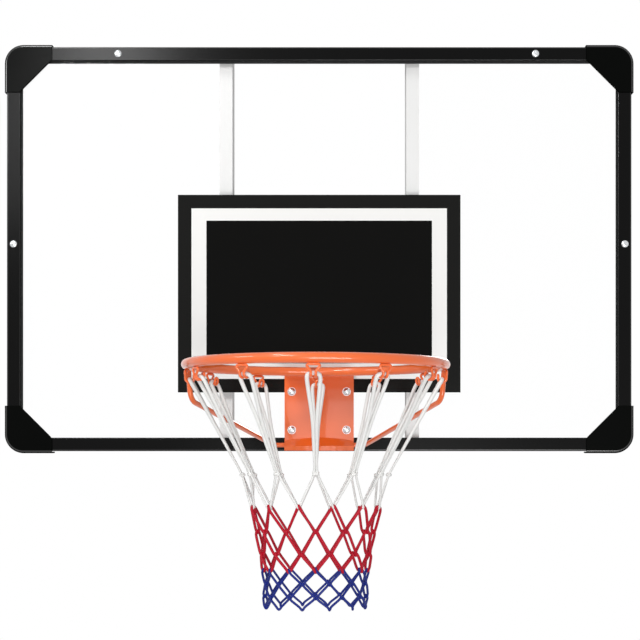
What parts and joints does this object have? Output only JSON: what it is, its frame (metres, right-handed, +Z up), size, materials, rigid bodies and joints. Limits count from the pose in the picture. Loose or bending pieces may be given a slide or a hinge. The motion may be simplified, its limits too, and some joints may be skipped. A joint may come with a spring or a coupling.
{
  "type": "basketball backboard",
  "caption": "Clear framed basketball backboard with a printed target, an orange steel rim on a braced bracket, a hanging cord net and bars for wall bolts.",
  "frame": {"origin": "centre of the wall bolt pattern, on the back face of the support bars", "axes": "+X across the board to the right as a player sees it, +Y back towards the wall, +Z up"},
  "size_m": [1.357, 0.6983, 1.159],
  "materials": {
    "clear_panel": "clear, polished",
    "black_print": "flat black print",
    "white_print": "flat white print",
    "black_rail": "satin black coat",
    "black_cap": "moulded, satin black",
    "grey_key": "moulded grey",
    "white_bar": "gloss white paint",
    "white_plug": "moulded white",
    "orange_rim": "gloss orange coat",
    "black_rubber": "matt sheet",
    "zinc": "bright zinc plate",
    "white_cord": "braided cord",
    "red_cord": "braided cord",
    "blue_cord": "braided cord"
  },
  "bodies": {
    "backboard": {"panel": "clear_panel", "target_border": "black_print", "target_field": "black_print", "target_band": "white_print", "rail_top": "black_rail", "rail_bottom": "black_rail", "rail_left": "black_rail", "rail_right": "black_rail", "corner_cap_top_left": "black_cap", "corner_cap_top_right": "black_cap", "corner_cap_bottom_left": "black_cap", "corner_cap_bottom_right": "black_cap", "corner_key_top_left": "grey_key", "corner_key_top_right": "grey_key", "corner_key_bottom_left": "grey_key", "corner_key_bottom_right": "grey_key", "support_bar_left": "white_bar", "support_bar_right": "white_bar", "rear_crossbar": "white_bar", "backing_plate": "white_bar", "bar_end_plugs": "white_plug", "rim_bracket": "orange_rim", "rim_ring": "orange_rim", "rim_brace_left": "orange_rim", "rim_brace_right": "orange_rim", "net_hooks": "orange_rim", "rim_gasket": "black_rubber", "rim_bolts": "zinc", "rim_washers": "zinc", "rim_nuts": "zinc", "frame_screws": "zinc", "bar_screws": "zinc", "wall_inserts": "zinc", "net_loops": "white_cord"},
    "net_tail": {"net_white_mesh": "white_cord", "net_red_mesh": "red_cord", "net_blue_mesh": "blue_cord"}
  },
  "joints": [
    {"name": "net_sway", "type": "hinge", "parent": "backboard", "child": "net_tail", "pos_m": [0, -0.4523, -0.2715], "axis": [1, 0, 0], "range_deg": [-15, 15], "deforming": ["net_loops"]}
  ]
}
